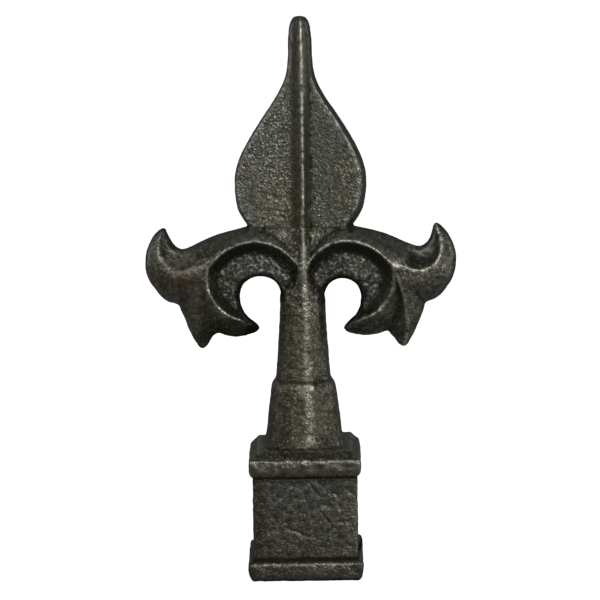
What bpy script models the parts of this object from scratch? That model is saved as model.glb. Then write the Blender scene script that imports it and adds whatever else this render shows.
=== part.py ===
"""A cast iron post finial: a fleur-de-lis spear on a round stem over a square socket.

The drawing below is in millimetres, and each mesh is turned into metres when it is made.
The ornament is a relief on both sides of the parting plane y = 0. One quarter of it is
drawn in x and z, raised along y, and mirrored twice. The stem is turned, and the socket is
turned in four steps. All of it is one casting, so it ends up as one closed mesh.
"""
import math

import bmesh
import bpy
import numpy as np
from mathutils.geometry import delaunay_2d_cdt

MM = 0.001

# Corners of the half outline, x and z, where its smooth runs meet
TIP = (0.0, 172.5)
BLADE_NOTCH = (16.1, 108.1)
HORN_TIP = (42.4, 108.4)
OUTER_NOTCH = (38.5, 83.8)
LOBE_TIP = (31.0, 70.1)
INNER_NOTCH = (26.4, 75.0)
HOOK_TIP = (13.2, 76.2)

# The round gap inside the scroll, and the tongue that the stem swallows below it
GAP_CENTRE = (12.85, 86.3)
GAP_RADIUS = 5.95
TONGUE_FOOT = 78.0
TONGUE_HALF_WIDTH = 4.0
TONGUE_RIM = 3.0

# Runs of the half outline: x, z, height of the relief just inside the edge, edge width
BLADE_EDGE = [(*TIP, 1.8, 1.2), (1.9, 172.0, 1.8, 1.2), (3.1, 169.8, 2.0, 1.1),
              (3.65, 165.0, 2.4, 1.0), (3.8, 159.5, 2.8, 0.9), (4.7, 153.8, 3.0, 0.9),
              (7.5, 148.0, 3.3, 0.9), (12.8, 140.0, 3.7, 1.0), (17.5, 132.0, 4.0, 1.2),
              (19.8, 126.0, 4.2, 1.5), (20.3, 120.5, 4.4, 1.6), (19.6, 114.5, 4.6, 1.9),
              (18.3, 111.3, 4.8, 2.1), (*BLADE_NOTCH, 4.9, 2.0)]
ARM_EDGE = [(*BLADE_NOTCH, 4.9, 2.0), (20.0, 107.2, 3.9, 1.7), (24.0, 106.2, 3.3, 1.5),
            (28.0, 104.8, 3.0, 1.4), (32.0, 103.0, 2.8, 1.3), (36.3, 101.4, 2.4, 1.2),
            (39.0, 102.7, 2.2, 1.1), (40.9, 106.2, 1.6, 1.0), (41.5, 107.8, 1.3, 1.0),
            (*HORN_TIP, 1.2, 1.0)]
HORN_EDGE = [(*HORN_TIP, 1.2, 1.0), (43.6, 107.7, 1.4, 1.0), (45.6, 105.3, 1.9, 1.1),
             (47.6, 100.7, 2.4, 1.3), (48.05, 96.8, 2.6, 1.4), (47.3, 92.5, 2.6, 1.4),
             (45.0, 88.5, 2.5, 1.3), (42.0, 85.3, 2.2, 1.2), (*OUTER_NOTCH, 2.0, 1.2)]
LOBE_OUTER_EDGE = [(*OUTER_NOTCH, 2.0, 1.2), (37.3, 80.0, 2.0, 1.2), (34.8, 74.8, 1.7, 1.1),
                   (32.4, 70.9, 1.3, 1.0), (*LOBE_TIP, 1.2, 1.0)]
LOBE_INNER_EDGE = [(*LOBE_TIP, 1.2, 1.0), (29.6, 71.1, 1.3, 1.0), (28.2, 73.2, 1.6, 1.0),
                   (*INNER_NOTCH, 1.8, 1.1)]
HOOK_OUTER_EDGE = [(*INNER_NOTCH, 1.8, 1.1), (23.2, 74.1, 1.9, 1.2), (20.0, 73.7, 1.8, 1.2),
                   (16.2, 74.3, 1.5, 1.0), (14.2, 75.1, 1.3, 0.9), (*HOOK_TIP, 1.2, 0.9)]
HOOK_INNER_EDGE = [(*HOOK_TIP, 1.2, 0.9), (13.8, 77.4, 1.4, 0.9), (15.1, 78.8, 1.8, 1.0),
                   (17.2, 81.1, 2.8, 1.1), (18.5, 83.8, 3.6, 1.2), (18.8, 86.3, 3.9, 1.2)]
GAP_EDGE_WIDTH = 1.0

# Heights above the parting plane down the middle of the blade, by z
LEVELS = (78.0, 84.0, 88.0, 92.0, 97.0, 102.0, 108.0, 120.0, 140.0, 160.0, 168.0, 172.5)
RIB_CREST = (6.9, 7.1, 7.3, 7.4, 7.4, 7.4, 7.3, 6.9, 6.2, 5.2, 4.2, 3.0)
BLADE_FACE = (5.6, 6.3, 6.7, 6.8, 6.8, 5.8, 4.9, 4.4, 3.7, 2.8, 2.2, 1.8)
RIB_HALF_WIDTH = (4.0, 4.0, 3.0, 2.2, 2.2, 3.0, 3.0, 3.0, 3.0, 3.0, 3.0, 3.0)
RIB_HOLLOW = 1.5
RIB_FOOT = [(3.0, 102.0), (3.0, 130.0), (3.0, 157.0)]
DISH = 0.035

# Crests: x, z, height. They spread from the crown, where the three lobes part
CROWN = (28.2, 96.2, 7.8)
SCROLL_ROOT = (1.8, 97.0)
SCROLL_CREST = [(*SCROLL_ROOT, 6.9), (4.2, 99.8, 7.2), (7.6, 102.2, 7.5), (11.7, 103.6, 7.7),
                (15.5, 103.7, 7.8), (19.4, 102.8, 7.9), (23.6, 100.6, 7.9), CROWN]
HOOK_CREST = [CROWN, (28.7, 92.8, 7.5), (28.2, 89.0, 7.1), (26.0, 84.4, 6.5),
              (22.3, 81.1, 5.7), (17.4, 78.8, 4.4), (*HOOK_TIP, 1.6)]
HORN_CREST = [CROWN, (31.8, 95.7, 7.4), (35.2, 94.9, 7.0), (38.0, 94.9, 6.6),
              (41.2, 96.5, 5.9), (43.0, 99.7, 4.9), (43.3, 103.8, 3.4), (*HORN_TIP, 1.4)]
LOBE_CREST = [CROWN, (30.1, 91.8, 7.3), (31.4, 87.4, 6.6), (32.3, 82.5, 5.7),
              (32.5, 77.5, 4.5), (32.0, 73.5, 3.1), (*LOBE_TIP, 1.4)]

# Valleys between the lobes: x, z, height
INNER_VALLEY = [CROWN, (29.3, 91.4, 6.9), (30.0, 87.4, 5.3), (29.8, 83.2, 4.2),
                (28.8, 79.0, 3.1), (*INNER_NOTCH, 1.8)]
OUTER_VALLEY = [CROWN, (31.0, 92.6, 7.35), (34.4, 88.6, 6.2), (*OUTER_NOTCH, 2.0)]

# The foot of the blade's face, from its notch in to the root of the scroll
BLADE_FOOT = [BLADE_NOTCH, (12.0, 107.4), (8.0, 105.6), (5.0, 102.8), (3.2, 100.0), SCROLL_ROOT]
# The edge of the neck between the two recesses, from the stem up
NECK_EDGE = [(3.4, 84.0), (2.4, 88.0), (1.45, 91.0), (1.35, 94.0), SCROLL_ROOT]

# The recess round the gap: its floor, and the straight walls that fall to it from the crest,
# narrowing towards the hook, and from the neck
FLOOR_HEIGHT = 3.9
WALL_WIDTH = 3.4
NECK_WALL_WIDTH = 2.0
WALL_LOW_CREST = 1.6
WALL_FULL_CREST = 6.6
LEAST_WALL = 0.2

# How far each face of the lobes bulges (above 0) or is hollowed (below 0)
ARM_BULGE = 0.25
HORN_FRONT_BULGE = 0.65
HORN_BACK_BULGE = -1.4
LOBE_OUTER_BULGE = 0.3
LOBE_INNER_BULGE = -0.5
HOOK_BULGE = 0.3
SPOON_START = 32.5
SPOON_RUN = 2.5

# How the faces end at the outline: in a round shoulder, or in a crisp bevel
BEVELLED = ("blade_edge", "hook_inner_edge", "gap_edge")
ROUND_POWER = 2.2
BEVEL_POWER = 0.6

# Mesh spacing, and how close together and to the edges its points may lie
EDGE_STEP = 1.5
CREST_STEP = 1.5
FILL_STEP = 2.0
CURVE_STEP = 0.8
CURVE_SAMPLES = 16
LEAST_GAP = 0.65
LEAST_AXIS_GAP = 0.8
LEAST_RIM_SHARE = 0.8
FILL_CLEARANCE = 0.62
SAME_POINT = 0.01
TINY = 1e-6
SEWING_GAP = 0.001
SEAM_GAP = 0.00001

# How strongly the nearer of two low lines counts, for its height and for its distance
LOW_HEIGHT_POWER = 3.0
LOW_GAP_POWER = 4.0
LEAST_FLOOR_SHARE = 0.5

# The stem, radius and z from the top down, under a rounded top
STEM_TOP = 94.0
STEM_SPRING = 84.5
STEM_NECK_RADIUS = 7.05
STEM_PROFILE = [(7.2, 79.0), (7.9, 68.7), (8.45, 61.7), (8.85, 60.3), (9.6, 59.9),
                (9.97, 59.1), (10.9, 51.6), (11.95, 42.4), (12.6, 41.0), (13.4, 40.2),
                (13.4, 37.5)]
STEM_SIDES = 32
DOME_RINGS = 4

# The square socket's moulding, half width and z from the top down
SOCKET_PROFILE = [(14.2, 40.4), (16.6, 37.7), (17.05, 37.2), (17.3, 36.3), (17.3, 34.4),
                  (17.0, 33.2), (16.4, 32.5), (16.05, 32.1), (16.05, 6.4), (16.5, 6.0),
                  (17.3, 5.5), (17.7, 4.6), (17.7, 2.1), (17.3, 0.8), (16.2, 0.0)]
CORNER_ROUNDING = 1.3
CORNER_ANGLE = 65.0
SOCKET_WIDTH = 26.0
SOCKET_DEPTH = 32.0
CUTTER_BELOW = 2.0

# The carver's hand: the leaves sit a little to the left, the left one higher
LEAF_SHIFT = 0.4
LEAF_LIFT = 0.05
SLIP_START = 6.0
SLIP_RUN = 10.0
SLIP_TOP = 150.0
SLIP_RISE = 40.0

IRON_COLOUR = (0.045, 0.043, 0.038, 1.0)
IRON_ROUGHNESS = 0.55
IRON_METALLIC = 0.8


def smooth_run(points, step):
    """Points about one step apart on a smooth curve through the given points."""
    knots = np.array(points, float)
    before = 2 * knots[0] - knots[1]
    after = 2 * knots[-1] - knots[-2]
    knots = np.vstack([before, knots, after])
    dense = []
    for a, b, c, d in zip(knots, knots[1:], knots[2:], knots[3:]):
        for t in np.linspace(0.0, 1.0, CURVE_SAMPLES, endpoint=False):
            square = (2 * a - 5 * b + 4 * c - d) * t * t
            cube = (3 * b - a - 3 * c + d) * t ** 3
            dense.append(0.5 * (2 * b + (c - a) * t + square + cube))
    dense.append(knots[-2])
    dense = np.array(dense)
    spans = np.hypot(*np.diff(dense[:, :2], axis=0).T)
    length = np.concatenate([[0.0], np.cumsum(spans)])
    count = max(2, round(length[-1] / step) + 1)
    stops = np.linspace(0.0, length[-1], count)
    return np.column_stack([np.interp(stops, length, column) for column in dense.T])


def gap_run(step):
    """The round gap's edge, from beside the hook over the top to the stem."""
    count = round(math.pi * GAP_RADIUS / step) + 1
    angles = np.linspace(0.0, math.pi, count)
    x = GAP_CENTRE[0] + GAP_RADIUS * np.cos(angles)
    z = GAP_CENTRE[1] + GAP_RADIUS * np.sin(angles)
    rim = np.full(count, FLOOR_HEIGHT)
    return np.column_stack([x, z, rim, np.full(count, GAP_EDGE_WIDTH)])


def nearest(curve, points):
    """The distance from each point to a curve, and the curve's values at that place."""
    distance = np.full(len(points), np.inf)
    values = np.zeros((len(points), curve.shape[1]))
    for start, end in zip(curve, curve[1:]):
        run = end - start
        if not run[:2].any():
            continue
        along = (points - start[:2]) @ run[:2] / (run[:2] @ run[:2])
        foot = start + np.clip(along, 0.0, 1.0)[:, None] * run
        gap = np.hypot(*(points - foot[:, :2]).T)
        closer = gap < distance
        distance[closer] = gap[closer]
        values[closer] = foot[closer]
    return distance, values


def inside(ring, points):
    """Which points lie inside a closed ring."""
    x, z = points.T
    result = np.zeros(len(points), bool)
    for (x1, z1), (x2, z2) in zip(ring, np.roll(ring, -1, axis=0)):
        if z1 != z2:
            crosses = (z1 > z) != (z2 > z)
            result ^= crosses & (x < (x2 - x1) * (z - z1) / (z2 - z1) + x1)
    return result


def blade_height(x, z):
    """The blade's face with its hollow-sided rib, and the neck below it."""
    face = np.interp(z, LEVELS, BLADE_FACE)
    crest = np.interp(z, LEVELS, RIB_CREST)
    half_width = np.interp(z, LEVELS, RIB_HALF_WIDTH)
    rise = np.clip(1.0 - np.abs(x) / half_width, 0.0, 1.0) ** RIB_HOLLOW
    dish = DISH * np.clip(np.abs(x) - half_width, 0.0, None) * (z > BLADE_NOTCH[1])
    return face + (crest - face) * rise + dish


def with_blade_height(points, step):
    run = smooth_run(points, step)
    return np.column_stack([run, blade_height(*run.T)])


def draw(step):
    """Every line of the drawing, as points about one step apart."""
    return {
        "blade_edge": smooth_run(BLADE_EDGE, step),
        "arm_edge": smooth_run(ARM_EDGE, step),
        "horn_edge": smooth_run(HORN_EDGE, step),
        "lobe_outer_edge": smooth_run(LOBE_OUTER_EDGE, step),
        "lobe_inner_edge": smooth_run(LOBE_INNER_EDGE, step),
        "hook_outer_edge": smooth_run(HOOK_OUTER_EDGE, step),
        "hook_inner_edge": smooth_run(HOOK_INNER_EDGE, step),
        "gap_edge": gap_run(step),
        "scroll_crest": smooth_run(SCROLL_CREST, step),
        "hook_crest": smooth_run(HOOK_CREST, step),
        "horn_crest": smooth_run(HORN_CREST, step),
        "lobe_crest": smooth_run(LOBE_CREST, step),
        "inner_valley": smooth_run(INNER_VALLEY, step),
        "outer_valley": smooth_run(OUTER_VALLEY, step),
        "blade_foot": with_blade_height(BLADE_FOOT, step),
        "neck_edge": with_blade_height(NECK_EDGE, step),
    }


EDGES = ("blade_edge", "arm_edge", "horn_edge", "lobe_outer_edge", "lobe_inner_edge",
         "hook_outer_edge", "hook_inner_edge", "gap_edge")
CRESTS = ("scroll_crest", "hook_crest", "horn_crest", "lobe_crest", "inner_valley",
          "outer_valley", "blade_foot", "neck_edge")

# Faces between a crest and what lies below it: the ring round each, in order, where a
# minus sign means the line is walked backwards, then its crest, its low lines and bulge
FACES = (
    (("horn_crest", "horn_edge", "-outer_valley"),
     "horn_crest", ("horn_edge", "outer_valley"), HORN_FRONT_BULGE),
    (("lobe_crest", "-lobe_outer_edge", "-outer_valley"),
     "lobe_crest", ("lobe_outer_edge", "outer_valley"), LOBE_OUTER_BULGE),
    (("lobe_crest", "lobe_inner_edge", "-inner_valley"),
     "lobe_crest", ("lobe_inner_edge", "inner_valley"), LOBE_INNER_BULGE),
    (("hook_crest", "-hook_outer_edge", "-inner_valley"),
     "hook_crest", ("hook_outer_edge", "inner_valley"), HOOK_BULGE),
)


def ring_of(lines, names):
    runs = []
    for name in names:
        run = lines[name.lstrip("-")][:, :2]
        runs.append(run[::-1] if name.startswith("-") else run)
    return np.vstack(runs)


def low_line(lines, names, points):
    """Distance and height of the low lines beside each point, blended where they meet."""
    near = [nearest(lines[name], points) for name in names]
    gaps = np.array([np.maximum(gap, TINY) for gap, _ in near])
    heights = np.array([values[:, 2] for _, values in near])
    weights = gaps ** -LOW_HEIGHT_POWER
    distance = (gaps ** -LOW_GAP_POWER).sum(axis=0) ** (-1.0 / LOW_GAP_POWER)
    return distance, (weights * heights).sum(axis=0) / weights.sum(axis=0)


def facet_height(lines, crest, lows, bulge, points):
    """A face from its crest down to its low lines, bulging or hollowed on the way."""
    crest_gap, values = nearest(crest, points)
    low_gap, low = low_line(lines, lows, points)
    share = low_gap / (low_gap + crest_gap + TINY)
    bulging = 1.0 - (1.0 - share) ** (1.0 + np.maximum(bulge, 0.0))
    hollow = share ** (1.0 - np.minimum(bulge, 0.0))
    share = np.where(np.asarray(bulge) > 0.0, bulging, hollow)
    return low + (values[:, 2] - low) * share


def recess_height(lines, points):
    """The recess round the gap: straight walls down from its crest, then a flat floor."""
    crest = np.vstack([lines["scroll_crest"], lines["hook_crest"][1:]])
    gap, values = nearest(crest, points)
    top = values[:, 2]
    neck_gap, neck_values = nearest(lines["neck_edge"], points)
    floor = np.minimum(FLOOR_HEIGHT, LEAST_FLOOR_SHARE * top)
    full = (top - WALL_LOW_CREST) / (WALL_FULL_CREST - WALL_LOW_CREST)
    width = WALL_WIDTH * np.clip(full, LEAST_WALL, 1.0)
    wall = top - (top - floor) * np.clip(gap / width, 0.0, 1.0)
    neck_top = neck_values[:, 2]
    neck_wall = neck_top - (neck_top - floor) * np.clip(neck_gap / NECK_WALL_WIDTH, 0.0, 1.0)
    return np.maximum(wall, neck_wall)


def relief_height(lines, points):
    """Height of the relief above the parting plane, for points inside the outline."""
    height = blade_height(*points.T)

    arm_crest = np.vstack([lines["scroll_crest"], lines["horn_crest"][1:]])
    arm = inside(np.vstack([arm_crest[:, :2], lines["arm_edge"][::-1, :2],
                            lines["blade_foot"][:, :2]]), points)
    in_spoon = np.clip((points[arm, 0] - SPOON_START) / SPOON_RUN, 0.0, 1.0)
    bulge = ARM_BULGE + (HORN_BACK_BULGE - ARM_BULGE) * in_spoon
    height[arm] = facet_height(lines, arm_crest, ("arm_edge", "blade_foot"), bulge,
                               points[arm])

    for ring_names, crest, lows, bulge in FACES:
        face = inside(ring_of(lines, ring_names), points)
        height[face] = facet_height(lines, lines[crest], lows, bulge, points[face])

    tongue = [(TONGUE_HALF_WIDTH, TONGUE_FOOT)]
    recess = inside(np.vstack([ring_of(lines, ("neck_edge", "scroll_crest", "hook_crest",
                                               "hook_inner_edge", "gap_edge")), tongue]),
                    points)
    height[recess] = recess_height(lines, points[recess])

    edge_gap, values = nearest(ring_with_values(lines), points)
    t = np.clip(1.0 - edge_gap / values[:, 3], 0.0, 1.0)
    bevelled = values[:, 4] > 0.5
    return height * np.where(bevelled, (1.0 - t) ** BEVEL_POWER, 1.0 - t ** ROUND_POWER)


def ring_with_values(lines):
    """The half outline from the tip round to the tongue, with edge heights and widths, and 1
    where the edge is bevelled."""
    runs = []
    for name in EDGES:
        run = lines[name]
        runs.append(np.column_stack([run, np.full(len(run), float(name in BEVELLED))]))
    tongue = [(TONGUE_HALF_WIDTH, TONGUE_FOOT, TONGUE_RIM, GAP_EDGE_WIDTH, 0.0),
              (0.0, TONGUE_FOOT, TONGUE_RIM, GAP_EDGE_WIDTH, 0.0)]
    return np.vstack(runs + [tongue])


def inset(curve, distance):
    """A curve's points moved sideways to its right by a distance of each point's own."""
    along = np.gradient(curve[:, :2], axis=0)
    along /= np.hypot(*along.T)[:, None]
    return curve[:, :2] + np.column_stack([along[:, 1], -along[:, 0]]) * distance[:, None]


def far_from(points, others, distance):
    """The points that keep a distance from all the others."""
    gaps = [np.hypot(*(others - point).T).min() for point in points]
    return points[np.array(gaps) >= distance]


def fill_points(ring, spacing):
    """Rows of points over the area inside a ring, every second row shifted by half."""
    low, high = ring.min(axis=0), ring.max(axis=0)
    points = []
    for row, z in enumerate(np.arange(low[1], high[1], spacing * math.sqrt(0.75))):
        for x in np.arange(low[0] + spacing * (0.5 if row % 2 else 1.0), high[0], spacing):
            points.append((x, z))
    points = np.array(points)
    return points[inside(ring, points)]


def quarter_plan():
    """Points and fixed edges of the flat plan that the relief is raised from."""
    drawn = draw(EDGE_STEP)
    outline = ring_with_values(drawn)
    steps = np.hypot(*np.diff(outline[:, :2], axis=0).T)
    outline = outline[np.concatenate([[True], steps > SAME_POINT])]
    ring = outline[:, :2]
    axis_count = round((TIP[1] - TONGUE_FOOT) / FILL_STEP)
    axis_z = np.linspace(TONGUE_FOOT, TIP[1], axis_count + 1)[1:-1]
    axis = np.column_stack([np.zeros(len(axis_z)), axis_z])
    loop = np.vstack([ring, axis])
    points = [tuple(point) for point in loop]
    fixed = [(i, (i + 1) % len(loop)) for i in range(len(loop))]

    lines = draw(CREST_STEP)
    rib_foot = with_blade_height(RIB_FOOT, FILL_STEP)
    for run in [lines[name] for name in CRESTS] + [rib_foot]:
        first = len(points)
        points.extend(tuple(point) for point in run[:, :2])
        fixed.extend((i, i + 1) for i in range(first, len(points) - 1))

    fine = draw(CURVE_STEP)
    edge_inset = inset(outline, outline[:, 3])
    wall_foot = inset(lines["scroll_crest"], np.full(len(lines["scroll_crest"]), WALL_WIDTH))
    hook_foot = inset(lines["hook_crest"], np.full(len(lines["hook_crest"]), WALL_WIDTH))
    extra = np.vstack([edge_inset, wall_foot, hook_foot])
    extra = extra[inside(ring_with_values(fine)[:, :2], extra)]
    edge_gap, values = nearest(ring_with_values(fine), extra)
    extra = extra[edge_gap > LEAST_RIM_SHARE * values[:, 3]]
    extra = extra[extra[:, 0] > LEAST_AXIS_GAP]
    for candidate in extra:
        gaps = np.hypot(*(np.array(points) - candidate).T)
        if gaps.min() > LEAST_GAP:
            points.append(tuple(candidate))
    clearance = FILL_CLEARANCE * FILL_STEP
    filler = far_from(fill_points(ring, FILL_STEP), np.array(points), clearance)
    points.extend(tuple(point) for point in filler)
    return points, fixed, ring


def mesh_object(name, bm):
    """An object from a bmesh drawn in millimetres."""
    bmesh.ops.scale(bm, vec=(MM, MM, MM), verts=bm.verts)
    mesh = bpy.data.meshes.new(name)
    bm.to_mesh(mesh)
    bm.free()
    return bpy.data.objects.new(name, mesh)


def on_outline(vert):
    """Whether a point of the flat plan lies on the outline, and not only on the axis."""
    return vert.is_boundary and (vert.co.x > SEWING_GAP or vert.co.z in (TIP[1], TONGUE_FOOT))


def relief_quarter():
    """The front right quarter of the ornament, open at the two planes it is mirrored on."""
    points, fixed, ring = quarter_plan()
    flat, _, triangles, _, _, _ = delaunay_2d_cdt(points, fixed, [], 1, SEWING_GAP)
    closed_ring = np.vstack([ring, ring[:1]])
    plan = np.array([tuple(point) for point in flat])
    bm = bmesh.new()
    verts = [bm.verts.new((x, 0.0, z)) for x, z in plan]
    for triangle in triangles:
        middle = plan[list(triangle)].mean(axis=0)
        if inside(closed_ring, middle[None, :])[0]:
            bm.faces.new([verts[i] for i in triangle])
    bmesh.ops.delete(bm, geom=[v for v in bm.verts if not v.link_faces], context="VERTS")

    bridges = [e for e in bm.edges if not e.is_boundary and all(map(on_outline, e.verts))]
    bmesh.ops.subdivide_edges(bm, edges=bridges, cuts=1)
    bmesh.ops.triangulate(bm, faces=bm.faces[:])

    free = [v for v in bm.verts if not on_outline(v)]
    heights = relief_height(draw(CURVE_STEP), np.array([(v.co.x, v.co.z) for v in free]))
    for vert, height in zip(free, heights):
        vert.co.y = -height
    return bm


def add_left_half(bm):
    """The same relief on the other side of the axis, sewn to the first."""
    twins = {vert: bm.verts.new((-vert.co.x, vert.co.y, vert.co.z)) for vert in bm.verts[:]}
    for face in bm.faces[:]:
        bm.faces.new([twins[vert] for vert in reversed(face.verts)])
    bmesh.ops.remove_doubles(bm, verts=bm.verts, dist=SEWING_GAP)


def set_by_hand(bm):
    """The small lean of the leaves that a hand-carved pattern has."""
    for vert in bm.verts:
        out = min(1.0, max(0.0, (abs(vert.co.x) - SLIP_START) / SLIP_RUN))
        out *= min(1.0, max(0.0, (SLIP_TOP - vert.co.z) / SLIP_RISE))
        share = out * out * (3.0 - 2.0 * out)
        vert.co.z -= math.copysign(LEAF_LIFT * share, vert.co.x)
        vert.co.x -= LEAF_SHIFT * share


def add_ornament():
    """The blade and its two side leaves, mirrored across the parting plane."""
    bm = relief_quarter()
    add_left_half(bm)
    set_by_hand(bm)
    bmesh.ops.recalc_face_normals(bm, faces=bm.faces)
    if sum(face.normal.y * face.calc_area() for face in bm.faces) > 0.0:
        bmesh.ops.reverse_faces(bm, faces=bm.faces)
    ornament = mesh_object("finial", bm)
    mirror = ornament.modifiers.new("front_and_back", "MIRROR")
    mirror.use_axis = (False, True, False)
    mirror.use_clip = True
    mirror.merge_threshold = SEAM_GAP
    return ornament


def turned(name, profile, sides):
    """A solid turned from a profile of radius and z, from the top down."""
    bm = bmesh.new()
    verts = [bm.verts.new((radius, 0.0, z)) for radius, z in profile]
    for upper, lower in zip(verts, verts[1:]):
        bm.edges.new((upper, lower))
    form = mesh_object(name, bm)
    screw = form.modifiers.new("turned", "SCREW")
    screw.steps = sides
    screw.render_steps = sides
    screw.use_merge_vertices = True
    screw.merge_threshold = SEAM_GAP
    return form


def add_stem():
    """The round stem, with a rounded top that dies into the neck."""
    rise = STEM_TOP - STEM_SPRING
    profile = [(0.0, STEM_TOP)]
    for ring in range(1, DOME_RINGS + 1):
        angle = 0.5 * math.pi * ring / DOME_RINGS
        profile.append((STEM_NECK_RADIUS * math.sin(angle), STEM_SPRING + rise * math.cos(angle)))
    profile += STEM_PROFILE
    profile.append((0.0, profile[-1][1]))
    return turned("stem_form", profile, STEM_SIDES)


def add_socket_block():
    """The square block: its moulding turned in four steps, with softened corners."""
    corner = math.sqrt(2.0)
    profile = [(0.0, SOCKET_PROFILE[0][1])] + SOCKET_PROFILE + [(0.0, 0.0)]
    block = turned("socket_form", [(width * corner, z) for width, z in profile], 4)
    block.rotation_euler.z = math.radians(45.0)
    bevel = block.modifiers.new("soft_corners", "BEVEL")
    bevel.width = CORNER_ROUNDING * MM
    bevel.segments = 2
    bevel.limit_method = "ANGLE"
    bevel.angle_limit = math.radians(CORNER_ANGLE)
    return block


def add_socket_cutter():
    """The square hole for the post's tube."""
    bm = bmesh.new()
    bmesh.ops.create_cube(bm, size=1.0)
    for vert in bm.verts:
        vert.co.x *= SOCKET_WIDTH
        vert.co.y *= SOCKET_WIDTH
        vert.co.z = SOCKET_DEPTH if vert.co.z > 0.0 else -CUTTER_BELOW
    return mesh_object("socket_cutter", bm)


def cast_iron():
    material = bpy.data.materials.new("cast_iron")
    material.use_nodes = True
    shader = material.node_tree.nodes["Principled BSDF"]
    shader.inputs["Base Color"].default_value = IRON_COLOUR
    shader.inputs["Roughness"].default_value = IRON_ROUGHNESS
    shader.inputs["Metallic"].default_value = IRON_METALLIC
    return material


def join(target, other, operation):
    boolean = target.modifiers.new(operation.lower() + "_" + other.name, "BOOLEAN")
    boolean.operation = operation
    boolean.solver = "EXACT"
    boolean.object = other


def main():
    for old in list(bpy.data.objects):
        bpy.data.objects.remove(old)
    parts = bpy.data.collections.new("post_finial")
    forms = bpy.data.collections.new("forms_and_cutters")
    for collection in (parts, forms):
        bpy.context.scene.collection.children.link(collection)

    finial = add_ornament()
    finial.data.materials.append(cast_iron())
    parts.objects.link(finial)
    added = [add_stem(), add_socket_block()]
    cutter = add_socket_cutter()
    for form in added + [cutter]:
        form.display_type = "WIRE"
        form.hide_render = True
        forms.objects.link(form)
    for form in added:
        join(finial, form, "UNION")
    join(finial, cutter, "DIFFERENCE")


main()
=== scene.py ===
"""The looks of a cast iron post finial: its fine surface, its finish, and a plain pale studio.

The drawing is in millimetres, as in the part's own source: one quarter of the ornament is
drawn in x and z, raised along y and mirrored twice, and the stem and the socket are turned.
Here it is drawn finer, melted into one casting, given the lumps and grain of cast iron, and
painted with how much each place is worn bright or given a painted highlight, how much painted
shade and sooting it has, and how sandy or rusty it is.
"""

import math

import bmesh
import bpy
import numpy as np
from mathutils import Matrix, Vector, noise
from mathutils.geometry import delaunay_2d_cdt


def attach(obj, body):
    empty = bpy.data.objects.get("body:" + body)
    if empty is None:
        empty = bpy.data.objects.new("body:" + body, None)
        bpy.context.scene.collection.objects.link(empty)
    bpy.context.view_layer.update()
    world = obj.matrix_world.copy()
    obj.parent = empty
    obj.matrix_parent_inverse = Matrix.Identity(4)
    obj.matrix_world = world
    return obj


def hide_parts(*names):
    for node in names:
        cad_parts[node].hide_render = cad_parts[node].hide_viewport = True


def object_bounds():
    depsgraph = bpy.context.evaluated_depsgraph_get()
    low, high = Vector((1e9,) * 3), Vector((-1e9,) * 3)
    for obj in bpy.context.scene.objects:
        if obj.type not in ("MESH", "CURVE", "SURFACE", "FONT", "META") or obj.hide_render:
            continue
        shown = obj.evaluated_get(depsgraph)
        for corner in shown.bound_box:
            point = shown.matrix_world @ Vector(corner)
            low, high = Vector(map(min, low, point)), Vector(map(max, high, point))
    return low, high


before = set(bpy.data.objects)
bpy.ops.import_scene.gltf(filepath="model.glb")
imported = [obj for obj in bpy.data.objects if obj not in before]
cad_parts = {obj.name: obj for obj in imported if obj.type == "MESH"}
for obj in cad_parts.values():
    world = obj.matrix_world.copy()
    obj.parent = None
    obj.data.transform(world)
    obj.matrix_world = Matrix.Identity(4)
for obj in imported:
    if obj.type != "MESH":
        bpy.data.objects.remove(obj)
cad_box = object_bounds()

MM = 0.001

# The stem, radius and z from the top down, under a rounded top that dies into the neck
STEM_TOP = 94.0
STEM_SPRING = 84.5
STEM_NECK_RADIUS = 7.05
STEM_PROFILE = [
    (7.2, 79), (7.9, 68.7), (8.45, 61.7), (8.75, 60.7), (9.35, 60.05), (9.8, 59.2), (10.05, 58.4),
    (10.9, 51.6), (11.7, 43.9), (12.2, 42.6), (12.7, 41.4), (13.2, 40.5), (13.8, 40.1),
    (13.8, 37.5),
]
STEM_SIDES = 120
DOME_RINGS = 12

# The square socket's moulding, half width and z from the top down
SOCKET_PROFILE = [
    (14.2, 40.4), (16.6, 37.9), (17, 37.5), (17.2, 36.6), (17.2, 34.4), (16.9, 33.2),
    (16.4, 32.5), (15.85, 32.2), (15.85, 31.8), (16.05, 31.5), (16.05, 7.5), (15.75, 7.1),
    (15.75, 6.5), (16.5, 6.2), (17.3, 5.9), (17.7, 5.1), (17.7, 2.2), (17.5, 1.1), (17.15, 0.4),
    (16.6, 0),
]
CORNER_ROUNDING = 1.3
CORNER_SEGMENTS = 4
CORNER_ANGLE = 65.0
SOCKET_WIDTH = 26.0
SOCKET_DEPTH = 32.0
CUTTER_BELOW = 2.0

# Corners of the half outline, x and z, where its smooth runs meet
TIP = (0.0, 172.5)
BLADE_NOTCH = (16.1, 108.1)
HORN_TIP = (42.4, 108.4)
OUTER_NOTCH = (38.5, 83.8)
LOBE_TIP = (31.0, 70.1)
INNER_NOTCH = (26.4, 75.0)
HOOK_TIP = (13.2, 76.2)

# The round gap inside the scroll, and the tongue that the stem swallows below it
GAP_CENTRE = (12.85, 86.3)
GAP_RADIUS = 5.95
TONGUE_FOOT = 78.0
TONGUE_HALF_WIDTH = 4.0
TONGUE_RIM = 3.0

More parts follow.
